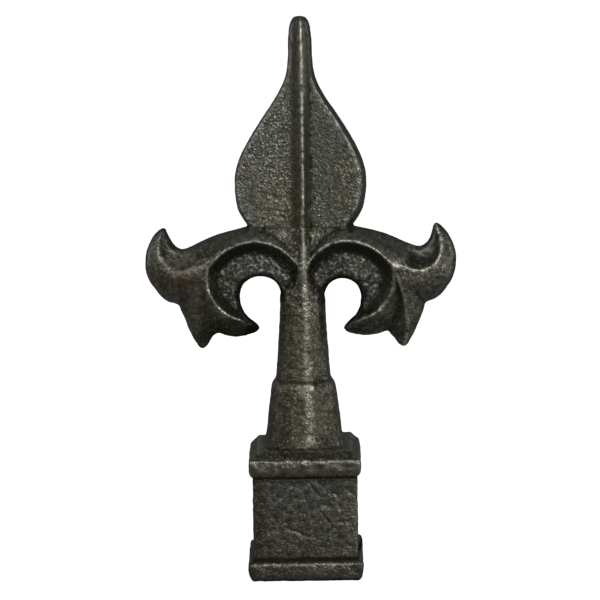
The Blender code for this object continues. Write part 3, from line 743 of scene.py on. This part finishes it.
def relief_quarter(side):
    """A front quarter of the ornament, drawn to the right and open where it meets the others."""
    points, fixed, ring = quarter_plan(side)
    flat, _, triangles, _, _, _ = delaunay_2d_cdt(points, fixed, [], 1, PLAN_TOLERANCE)
    plan = np.array([tuple(point) for point in flat])
    middles = plan[np.array(triangles)].mean(axis=1)
    bm = bmesh.new()
    verts = [bm.verts.new((x, 0.0, z)) for x, z in plan]
    for triangle, wanted in zip(triangles, inside(ring, middles)):
        if wanted:
            bm.faces.new([verts[i] for i in triangle])
    bmesh.ops.delete(bm, geom=[v for v in bm.verts if not v.link_faces], context="VERTS")

    bridges = [e for e in bm.edges if not e.is_boundary and all(map(on_outline, e.verts))]
    bmesh.ops.subdivide_edges(bm, edges=bridges, cuts=1)
    bmesh.ops.triangulate(bm, faces=bm.faces[:])

    free = [v for v in bm.verts if not on_outline(v)]
    places = np.array([(v.co.x, v.co.z) for v in free])
    for vert, height in zip(free, relief_height(draw(CURVE_STEP), places, side)):
        vert.co.y = -height
    if side < 0:
        bmesh.ops.scale(bm, vec=(-1, 1, 1), verts=bm.verts)
        bmesh.ops.reverse_faces(bm, faces=bm.faces)
    return bm


def add_back(bm):
    """The same faces once more behind the parting plane."""
    twins = {vert: bm.verts.new((vert.co.x, -vert.co.y, vert.co.z)) for vert in bm.verts[:]}
    for face in bm.faces[:]:
        bm.faces.new([twins[vert] for vert in reversed(face.verts)])
    bmesh.ops.remove_doubles(bm, verts=bm.verts, dist=SEWING_GAP)


def by_hand(points):
    """Moves points, x, y and z in rows, by the small slips of a hand-made pattern."""
    x, y, z = np.array(points, float).T
    out = held((np.abs(x) - SLIP_START) / SLIP_RUN)
    share = smooth_share(out * held((SLIP_TOP - z) / SLIP_RISE))
    front = held(-y / MOULD_DEPTH) * held((z - TONGUE_FOOT) / SLIP_RUN)
    on_rib = smooth_share(1.0 - np.abs(x) / RIB_SHIFT_REACH)
    moved_x = x - LEAF_SHIFT * share + (RIB_SHIFT * on_rib - MOULD_SHIFT) * front
    moved_z = z - np.sign(x) * LEAF_LIFT * share
    moved_x += BLADE_SHIFT * smooth_share((z - BLADE_NOTCH[1]) / SLIP_RUN)
    for place, side, radius, reach, move_x, move_z, growth in MOVES:
        away_x, away_z = x - side * place[0], z - place[1]
        near = smooth_share((reach - np.hypot(away_x, away_z)) / (reach - radius))
        moved_x += near * (move_x + growth * away_x)
        moved_z += near * (move_z + growth * away_z)
    return np.column_stack([moved_x, y, moved_z])


def skewed(points):
    """Moves the points of the block by the slips of its pattern."""
    x, y, z = points.T
    in_block = smooth_share(BLOCK_TOP - z)
    far_right = smooth_share(0.5 + y / SOCKET_WIDTH) * smooth_share(x / SLIP_RUN)
    moved_x = x + in_block * BLOCK_SKEW * far_right
    moved_x *= 1.0 - FOOT_TAPER * smooth_share(1.0 - z / FOOT_TAPER_TOP)
    rise = SHOULDER_RISE * in_block * smooth_share(z - SHOULDER_FOOT)
    rise += FOOT_RISE * smooth_share(z / FOOT_TOP) * smooth_share(2.0 - z / FOOT_TOP)
    return np.column_stack([moved_x, y, z + rise * far_right])


def add_object(name, data):
    made = bpy.data.objects.new(name, data)
    bpy.context.scene.collection.objects.link(made)
    return made


def mesh_from(name, bm):
    mesh = bpy.data.meshes.new(name)
    bm.to_mesh(mesh)
    bm.free()
    return mesh


def mesh_object(name, bm):
    """An object from a bmesh drawn in millimetres."""
    bmesh.ops.scale(bm, vec=(MM, MM, MM), verts=bm.verts)
    return add_object(name, mesh_from(name, bm))


def ornament_form():
    """The blade and its two side leaves, closed."""
    bm = relief_quarter(1)
    left_mesh = mesh_from("left", relief_quarter(-1))
    bm.from_mesh(left_mesh)
    bpy.data.meshes.remove(left_mesh)
    add_back(bm)
    for vert, place in zip(bm.verts, by_hand([vert.co for vert in bm.verts])):
        vert.co = place
    bmesh.ops.recalc_face_normals(bm, faces=bm.faces)
    return mesh_object("ornament_form", bm)


def turned(name, profile, sides):
    """A solid turned from a profile of radius and z, from the top down."""
    bm = bmesh.new()
    verts = [bm.verts.new((radius, 0.0, z)) for radius, z in profile]
    for upper, lower in zip(verts, verts[1:]):
        bm.edges.new((upper, lower))
    form = mesh_object(name, bm)
    screw = form.modifiers.new("turned", "SCREW")
    screw.steps = sides
    screw.render_steps = sides
    screw.use_merge_vertices = True
    screw.merge_threshold = SEAM_GAP * MM
    return form


def stem_form():
    """The round stem, with a rounded top that dies into the neck."""
    rise = STEM_TOP - STEM_SPRING
    profile = [(0.0, STEM_TOP)]
    for ring in range(1, DOME_RINGS + 1):
        angle = 0.5 * math.pi * ring / DOME_RINGS
        profile.append((STEM_NECK_RADIUS * math.sin(angle), STEM_SPRING + rise * math.cos(angle)))
    profile += STEM_PROFILE
    profile.append((0.0, profile[-1][1]))
    return turned("stem_form", profile, STEM_SIDES)


def socket_form():
    """The square block: its moulding turned in four steps, with softened corners."""
    corner = math.sqrt(2.0)
    profile = [(0.0, SOCKET_PROFILE[0][1])] + SOCKET_PROFILE + [(0.0, 0.0)]
    block = turned("socket_form", [(width * corner, z) for width, z in profile], 4)
    block.rotation_euler.z = math.radians(45.0)
    bevel = block.modifiers.new("soft_corners", "BEVEL")
    bevel.width = CORNER_ROUNDING * MM
    bevel.segments = CORNER_SEGMENTS
    bevel.limit_method = "ANGLE"
    bevel.angle_limit = math.radians(CORNER_ANGLE)
    return block


def socket_hole():
    """The square hole for the post's tube."""
    bm = bmesh.new()
    bmesh.ops.create_cube(bm, size=1.0)
    for vert in bm.verts:
        vert.co.x *= SOCKET_WIDTH
        vert.co.y *= SOCKET_WIDTH
        vert.co.z = SOCKET_DEPTH if vert.co.z > 0.0 else -CUTTER_BELOW
    return mesh_object("socket_hole", bm)


def shown_mesh(thing):
    """A copy of an object's mesh as its modifiers show it, in world space."""
    bpy.context.view_layer.update()
    seen = thing.evaluated_get(bpy.context.evaluated_depsgraph_get())
    mesh = bpy.data.meshes.new_from_object(seen)
    mesh.transform(thing.matrix_world)
    return mesh


def discard(thing):
    mesh = thing.data
    bpy.data.objects.remove(thing)
    bpy.data.meshes.remove(mesh)


def melted_together(forms):
    """One closed skin round all the forms, with small fillets where they meet."""
    bm = bmesh.new()
    for form in forms:
        mesh = shown_mesh(form)
        bm.from_mesh(mesh)
        bpy.data.meshes.remove(mesh)
        discard(form)
    casting = add_object("cast_finial", mesh_from("cast_finial", bm))
    remesh = casting.modifiers.new("one_skin", "REMESH")
    remesh.mode = "VOXEL"
    remesh.voxel_size = VOXEL * MM
    soften = casting.modifiers.new("soften", "SMOOTH")
    soften.factor = SOFTEN_FACTOR
    soften.iterations = SOFTEN_STEPS
    keep_shown(casting)
    return casting


def keep_shown(thing):
    """Applies an object's modifiers."""
    mesh = shown_mesh(thing)
    old = thing.data
    thing.modifiers.clear()
    thing.data = mesh
    bpy.data.meshes.remove(old)


def vertex_arrays(mesh):
    """The points and normals of a mesh, in millimetres."""
    count = len(mesh.vertices)
    points = np.empty(count * 3)
    normals = np.empty(count * 3)
    mesh.vertices.foreach_get("co", points)
    mesh.vertices.foreach_get("normal", normals)
    return points.reshape(-1, 3) / MM, normals.reshape(-1, 3)


def move_points(mesh, points):
    """Puts the points of a mesh at the places given in millimetres."""
    mesh.vertices.foreach_set("co", (points * MM).ravel())
    mesh.update()


def neighbour_mean(values, edges):
    """The mean of each point's neighbours along the edges of a mesh."""
    total = np.zeros_like(values)
    count = np.bincount(edges.ravel(), minlength=len(values))
    for axis in range(values.shape[1]):
        total[:, axis] = (np.bincount(edges[:, 0], values[edges[:, 1], axis], len(values))
                          + np.bincount(edges[:, 1], values[edges[:, 0], axis], len(values)))
    return total / np.maximum(count, 1)[:, None]


def edge_ends(mesh):
    """The two points of each edge of a mesh."""
    ends = np.empty(len(mesh.edges) * 2, np.int32)
    mesh.edges.foreach_get("vertices", ends)
    return ends.reshape(-1, 2)


def noise_field(points, size, seed):
    """Smooth noise from about -0.5 to 0.5, with features of the size given."""
    shifted = points / size + seed
    return np.array([noise.noise(Vector(place)) for place in shifted])


def wear(casting):
    """Skews the block, and smooths the worn places, where the forms flow into one another."""
    points, _ = vertex_arrays(casting.data)
    points = skewed(points)
    edges = edge_ends(casting.data)
    strength = np.zeros(len(points))
    for x, z, radius, side in WORN:
        gap = np.hypot(points[:, 0] - x, points[:, 2] - z)
        worn = smooth_share(2.0 - 2.0 * gap / radius) * (points[:, 1] * side >= 0.0)
        strength = np.maximum(strength, worn)
    for _ in range(WEAR_STEPS):
        points += strength[:, None] * (neighbour_mean(points, edges) - points)
    move_points(casting.data, points)


def scratched(points):
    """How deep the scratches are at each point."""
    depth = np.zeros(len(points))
    front = points[:, 1] < -PANEL_DEPTH
    for x1, z1, x2, z2, deep in SCRATCHES:
        line = np.array([(x1, z1), (x2, z2)])
        gap, _ = nearest(line, points[front][:, [0, 2]])
        depth[front] = np.maximum(depth[front], deep * nearness(gap, SCRATCH_HALF_WIDTH))
    return depth


def roughen(casting):
    """Moves the skin by seeded noise, so that it is lumpy as a sand casting is."""
    points, normals = vertex_arrays(casting.data)
    on_blade = held((points[:, 2] - SCROLL_ROOT[1]) / BLADE_RUN)
    on_block = smooth_share(BLOCK_TOP - points[:, 2])
    depth = -scratched(points)
    for size, flat, block, elsewhere in LUMPS:
        deep = elsewhere + (flat - elsewhere) * on_blade + (block - elsewhere) * on_block
        depth += deep * noise_field(points, size, seed=size)
    points += normals * depth[:, None]
    low, high = (np.array(corner) / MM for corner in cad_box)
    points = np.clip(points, low + CLEARANCE, high - CLEARANCE)
    move_points(casting.data, points)


def thin_out(casting):
    """Keeps the mesh under its most triangles."""
    triangles = 2 * len(casting.data.polygons)
    if triangles > MOST_TRIANGLES:
        decimate = casting.modifiers.new("thin_out", "DECIMATE")
        decimate.ratio = MOST_TRIANGLES / triangles
        keep_shown(casting)


def cut_hole(casting):
    hole = socket_hole()
    cut = casting.modifiers.new("socket", "BOOLEAN")
    cut.operation = "DIFFERENCE"
    cut.solver = "EXACT"
    cut.object = hole
    keep_shown(casting)
    discard(hole)


def stick_out(casting):
    """How far each point stands out from the mean of the skin round it, in millimetres."""
    points, normals = vertex_arrays(casting.data)
    edges = edge_ends(casting.data)
    mean = points
    for _ in range(CURVATURE_STEPS):
        mean = neighbour_mean(mean, edges)
    return ((points - mean) * normals).sum(axis=1)


def as_cast(line, side):
    """A line of the drawing on one side of the front, as the hand has moved it, in x and z."""
    front = np.column_stack([line[:, 0] * side, -line[:, 2], line[:, 1]])
    return by_hand(front)[:, [0, 2]]


def along_lines(points, lines, table, fade=None):
    """How close each point is to the lines of a table, up to the strength given there. It
    fades out round the width given, or all within a last stretch before it."""
    amount = np.zeros(len(points))
    in_leaves = between(points[:, 2], *LEAF_HEIGHTS)
    on_blade = between(points[:, 2], *BLADE_HEIGHTS)
    on_axis = (np.abs(points[:, 0]) < AXIS_REACH) & (points[:, 1] < 0.0)
    for name, side, strength, width in table:
        beside = (on_blade if name == "blade_edge" else in_leaves) & (points[:, 0] * side > 0.0)
        chosen = on_axis if name in ON_AXIS else beside
        gap, _ = nearest(as_cast(lines[name], side), points[chosen][:, [0, 2]])
        near = smooth_share((width - gap) / fade) if fade else nearness(gap, width)
        amount[chosen] = np.maximum(amount[chosen], strength * near)
    return amount


def recess_maps(points, lines):
    """Which points of the front lie on the walls of the recesses, and which on their floors."""
    wall = np.zeros(len(points), bool)
    floor = np.zeros(len(points), bool)
    crest = joined(lines, "scroll_crest", "hook_crest")
    for side in (1, -1):
        front = (points[:, 1] < 0.0) & (points[:, 0] * side > 0.0)
        ring = as_cast(ring_of(lines, RECESS), side)
        front[front] = inside(ring, points[front][:, [0, 2]])
        gap, _ = nearest(as_cast(crest, side), points[front][:, [0, 2]])
        wall[front] = between(gap, CREST_HALF_WIDTH, WALL_WIDTH)
        floor[front] = gap >= WALL_WIDTH
    return wall, floor


def patch_amount(points, stains):
    """How strongly each point lies in the patches of a table."""
    amount = np.zeros(len(points))
    for x, z, half_width, half_height, strength in stains:
        gap = np.hypot((points[:, 0] - x) / half_width, (points[:, 2] - z) / half_height)
        amount = np.maximum(amount, strength * smooth_share(PATCH_FADE - gap))
    return amount


def grain_map(points, coarse, olive):
    """How much of the sandy grain each point has."""
    x, _, z = np.abs(points.T)
    past_neck = smooth_share((x - LEAF_START) / AXIS_REACH)
    below_blade = smooth_share((BLADE_NOTCH[1] + NOTCH_FADE - z) / (2.0 * NOTCH_FADE))
    below_blade = np.maximum(below_blade, x > BLADE_REACH)
    leaf = past_neck * below_blade * (z > LEAF_HEIGHTS[0])
    grain = 1.0 - (1.0 - LEAST_GRAIN) * leaf * (1.0 - held(coarse + olive))
    for low, high, least in SMOOTH_BANDS:
        grain = np.where(between(z, low, high), least + (1.0 - least) * coarse, grain)
    by_rib = smooth_share(2.0 - x / RIB_SIDE) * (z > BLADE_NOTCH[1])
    grain *= 1.0 - RIB_SMOOTHNESS * by_rib
    return grain * (1.0 - patch_amount(points, SMOOTH_PATCHES))


def shade_and_soot_map(points, out, lines, wall, highlight_and_wear):
    """How much painted shade and sooting each point has: in hollows, at thin edges, on recess
    walls and along lines.
    """
    across, depth, z = np.abs(points.T)
    shade_and_soot = held(-out / HOLLOW_FULL)
    for low, high, least in COLLARS:
        shade_and_soot = np.where(between(z, low, high), least * shade_and_soot, shade_and_soot)
    at_rim = (z > RIM_FOOT) | (across > LEAF_START) & (z > BLOCK_TOP)
    # Painted shade at the thin edges by the parting plane, and on the recess walls
    shade_and_soot = np.maximum(shade_and_soot, RIM_SHADE * smooth_share(1.0 - depth / RIM_DEPTH) * at_rim)
    shade_and_soot = np.maximum(shade_and_soot, WALL_SHADE * wall)
    shade_and_soot = np.maximum(shade_and_soot, along_lines(points, lines, SHADE_AND_SOOT_LINES)) * (1.0 - held(highlight_and_wear))
    # Painted shade on the dark rims of the gaps and edges
    shade_and_soot = np.maximum(shade_and_soot, along_lines(points, lines, DARK_RIMS, RIM_FADE))
    return np.maximum(shade_and_soot, patch_amount(points, SHADE_AND_SOOT_PATCHES))


def broken_up(points, size, seed, mean, swing):
    """A share for each point, broken up by noise."""
    return held(mean + swing * noise_field(points, size, seed))


def paint_maps(casting):
    """Stores for each point how far it is worn bright or given a painted highlight, how much
    painted shade and sooting it has, how olive and rusty it is, how much sandy grain it has and
    how coarse that is, for the material to read."""
    points, _ = vertex_arrays(casting.data)
    across, depth, z = np.abs(points.T)
    out = stick_out(casting)
    patchy = broken_up(points, *PATCHY)
    lines = draw(CURVE_STEP)
    # The painted highlight stripes join the lines
    for name, stripe in HIGHLIGHT_STRIPES.items():
        lines[name] = np.array([(*place, STEM_NECK_RADIUS) for place in stripe])
    wall, floor = recess_maps(points, lines)
    olive = patch_amount(points, OLIVE_STAINS) * patchy
    coarse = np.maximum(FLOOR_GRAIN * floor, patch_amount(points, COARSE_PATCHES) * patchy)

    # Crests worn bright, and painted highlights along lines and in patches
    highlight_and_wear = np.maximum(along_lines(points, lines, WEAR_AND_HIGHLIGHT_LINES), patch_amount(points, HIGHLIGHT_AND_WEAR_SPOTS))
    # Painted shade and sooting
    shade_and_soot = shade_and_soot_map(points, out, lines, wall, highlight_and_wear)
    outside = (np.maximum(across, depth) > RING_DEPTH) | (z > SHOULDER_FOOT)
    # The rings add painted highlights on the mouldings and painted shade in their creases
    for ring_z, half_height, wear_and_highlight, soot_and_shade in RINGS:
        near = outside * nearness(np.abs(z - ring_z), half_height)
        highlight_and_wear = np.maximum(highlight_and_wear, wear_and_highlight * near)
        shade_and_soot = np.maximum(shade_and_soot, soot_and_shade * near)
    convex = held(out / CONVEX_FULL)
    convex *= np.where(z < SHOULDER_FOOT, CONVEX_ON_BLOCK, 1.0)
    maps = {
        "wear_and_highlight": held(highlight_and_wear + CONVEX_RUB * convex) * broken_up(points, *BROKEN),
        "soot_and_shade": shade_and_soot,
        "olive": olive,
        "rusty": patch_amount(points, RUST_STAINS) * patchy,
        "grainy": grain_map(points, coarse, olive),
        "coarse": coarse,
    }
    for name, values in maps.items():
        attribute = casting.data.attributes.new(name, "FLOAT", "POINT")
        attribute.data.foreach_set("value", values.astype(np.float32))


class Nodes:
    """A short way to write a material's nodes."""

    def __init__(self, material):
        material.use_nodes = True
        self.tree = material.node_tree
        self.shader = self.tree.nodes["Principled BSDF"]

    def add(self, kind, settings=None, **inputs):
        """A node with its settings, and with values or links for its inputs."""
        node = self.tree.nodes.new(kind)
        for name, value in (settings or {}).items():
            setattr(node, name, value)
        for name, value in inputs.items():
            self.set(node.inputs[name], value)
        return node

    def set(self, socket, value):
        if isinstance(value, bpy.types.NodeSocket):
            self.tree.links.new(value, socket)
        else:
            socket.default_value = value

    def attribute(self, name):
        return self.add("ShaderNodeAttribute", {"attribute_name": name}).outputs["Fac"]

    def finish(self, name, value):
        """Sets what a surface's shader is given under a name."""
        self.set(self.shader.inputs[name], value)

    def noise(self, size, detail):
        """Noise with features of a size in millimetres."""
        place = self.add("ShaderNodeTexCoord").outputs["Object"]
        scale = 1.0 / (size * MM)
        made = self.add("ShaderNodeTexNoise", Vector=place, Scale=scale, Detail=detail)
        return made.outputs["Fac"]

    def remap(self, value, source, target=(0.0, 1.0)):
        """A value moved softly from one range to another."""
        made = self.add("ShaderNodeMapRange", {"interpolation_type": "SMOOTHSTEP"})
        for socket, given in zip(made.inputs, (value, *source, *target)):
            self.set(socket, given)
        return made.outputs["Result"]

    def math(self, operation, first, second):
        made = self.add("ShaderNodeMath", {"operation": operation})
        self.set(made.inputs[0], first)
        self.set(made.inputs[1], second)
        return made.outputs["Value"]

    def mix(self, factor, first, second, kind="RGBA"):
        """A blend of two colours, or of two values if the kind is FLOAT."""
        made = self.add("ShaderNodeMix", {"data_type": kind}, Factor=factor, A=first, B=second)
        return made.outputs["Result"]


def cast_iron():
    """Bare dark iron with a sandy grain whose bright tops are painted glints, worn bright and
    given painted highlights on its crests, and darkened by painted shade and sooting.
    """
    material = bpy.data.materials.new("cast_iron")
    nodes = Nodes(material)
    wear_and_highlight, soot_and_shade, olive, rusty, grainy, coarse = map(
        nodes.attribute, ("wear_and_highlight", "soot_and_shade", "olive", "rusty", "grainy", "coarse"))
    fine_grain, coarse_grain = (nodes.noise(size, GRAIN_DETAIL) for size in GRAIN_SIZES)
    grain = nodes.mix(coarse, fine_grain, coarse_grain, "FLOAT")

    pits = nodes.math("MULTIPLY", nodes.remap(grain, PIT_RANGE, (PIT_STRENGTH, 0.0)), grainy)
    tops_range = [nodes.remap(coarse, (0.0, 1.0), ends) for ends in (TOPS_START, TOPS_END)]
    tops = nodes.math("MULTIPLY", nodes.remap(grain, tops_range, (0.0, TOPS_STRENGTH)),
                      nodes.math("MULTIPLY", grainy, grainy))
    # The bright tops of the grain are painted glints, tinted where rusty or olive
    bright = nodes.mix(olive, nodes.mix(rusty, BRIGHT_IRON, RUSTY_BRIGHT), OLIVE_BRIGHT)
    colour = nodes.mix(olive, nodes.mix(rusty, IRON, RUST), OLIVE)
    colour = nodes.mix(pits, colour, PIT_IRON)
    colour = nodes.mix(tops, colour, bright)
    # Worn crests and painted highlights
    colour = nodes.mix(wear_and_highlight, colour, WORN_AND_HIGHLIT_IRON)
    # Painted shade and sooting
    colour = nodes.mix(nodes.math("MULTIPLY", soot_and_shade, SHADE_COVER), colour, SOOT_AND_SHADE_IRON)
    nodes.finish("Base Color", colour)

    # Where the painted shade and sooting are strong, the iron turns matte
    matte = nodes.remap(soot_and_shade, MATTE_SHADE)
    nodes.finish("Metallic", nodes.remap(matte, (0.0, 1.0), (METALLIC, 0.0)))
    nodes.finish("Specular IOR Level", nodes.remap(matte, (0.0, 1.0), (SPECULAR, 0.0)))
    patches = nodes.noise(ROUGHNESS_PATCH, PATCH_DETAIL)
    roughness = nodes.remap(patches, ROUGHNESS_NOISE, ROUGHNESS)
    nodes.finish("Roughness", nodes.mix(wear_and_highlight, roughness, WEAR_AND_HIGHLIGHT_ROUGHNESS, "FLOAT"))

    bump = nodes.add("ShaderNodeBump", Height=grain, Distance=BUMP_DEPTH * MM)
    strength = nodes.math("MULTIPLY", grainy, 1.0 - LEAST_BUMP)
    nodes.set(bump.inputs["Strength"], nodes.math("ADD", strength, LEAST_BUMP))
    nodes.finish("Normal", bump.outputs["Normal"])
    return material


def add_casting():
    """The finial as one piece."""
    casting = melted_together([ornament_form(), stem_form(), socket_form()])
    wear(casting)
    roughen(casting)
    thin_out(casting)
    cut_hole(casting)
    paint_maps(casting)
    casting.data.shade_smooth()
    casting.data.set_sharp_from_angle(angle=math.radians(SHARP_ANGLE))
    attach(casting, "root")
    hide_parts("finial")
    casting.data.materials.clear()
    casting.data.materials.append(cast_iron())


def add_camera():
    camera = add_object("camera", bpy.data.cameras.new("camera"))
    camera.data.sensor_width = SENSOR_WIDTH
    camera.data.lens = SENSOR_WIDTH * CAMERA_DISTANCE / VIEW_WIDTH
    along = Vector((0.0, math.cos(CAMERA_ELEVATION), -math.sin(CAMERA_ELEVATION)))
    level_up = Vector((0.0, math.sin(CAMERA_ELEVATION), math.cos(CAMERA_ELEVATION)))
    level_right = Vector((1.0, 0.0, 0.0))
    turn = Matrix((level_right, level_up, -along)).transposed().to_4x4()
    place = Vector((-CAMERA_SHIFT, 0.0, AIM_HEIGHT)) - along * CAMERA_DISTANCE
    roll = Matrix.Rotation(-CAMERA_ROLL, 4, "Z")
    camera.matrix_world = Matrix.Translation(place) @ turn @ roll
    bpy.context.scene.camera = camera


def add_light(name, azimuth, elevation, power):
    """A soft square light aimed at the finial."""
    light = add_object(name, bpy.data.lights.new(name, "AREA"))
    light.data.size = LIGHT_SIZE
    light.data.energy = power
    a, e = math.radians(azimuth), math.radians(elevation)
    away = Vector((math.sin(a) * math.cos(e), -math.cos(a) * math.cos(e), math.sin(e)))
    light.location = Vector(LIGHT_AIM) + away * LIGHT_DISTANCE
    light.rotation_euler = away.to_track_quat("Z", "Y").to_euler()
    light.visible_camera = False


def add_studio():
    """A plain pale floor and plain soft light."""
    bm = bmesh.new()
    bmesh.ops.create_grid(bm, x_segments=1, y_segments=1, size=FLOOR_SIZE)
    floor = mesh_object("floor", bm)
    material = bpy.data.materials.new("pale_floor")
    nodes = Nodes(material)
    for name, value in FLOOR_FINISH.items():
        nodes.finish(name, value)
    floor.data.materials.append(material)
    floor.visible_diffuse = False
    floor.visible_glossy = False

    for light in LIGHTS:
        add_light(*light)

    world = bpy.data.worlds.new("studio")
    bpy.context.scene.world = world
    world.use_nodes = True
    background = world.node_tree.nodes["Background"]
    background.inputs["Color"].default_value = WHITE
    background.inputs["Strength"].default_value = WORLD_STRENGTH
    bpy.context.scene.view_settings.view_transform = "Standard"


def main():
    add_camera()
    add_casting()
    add_studio()


main()
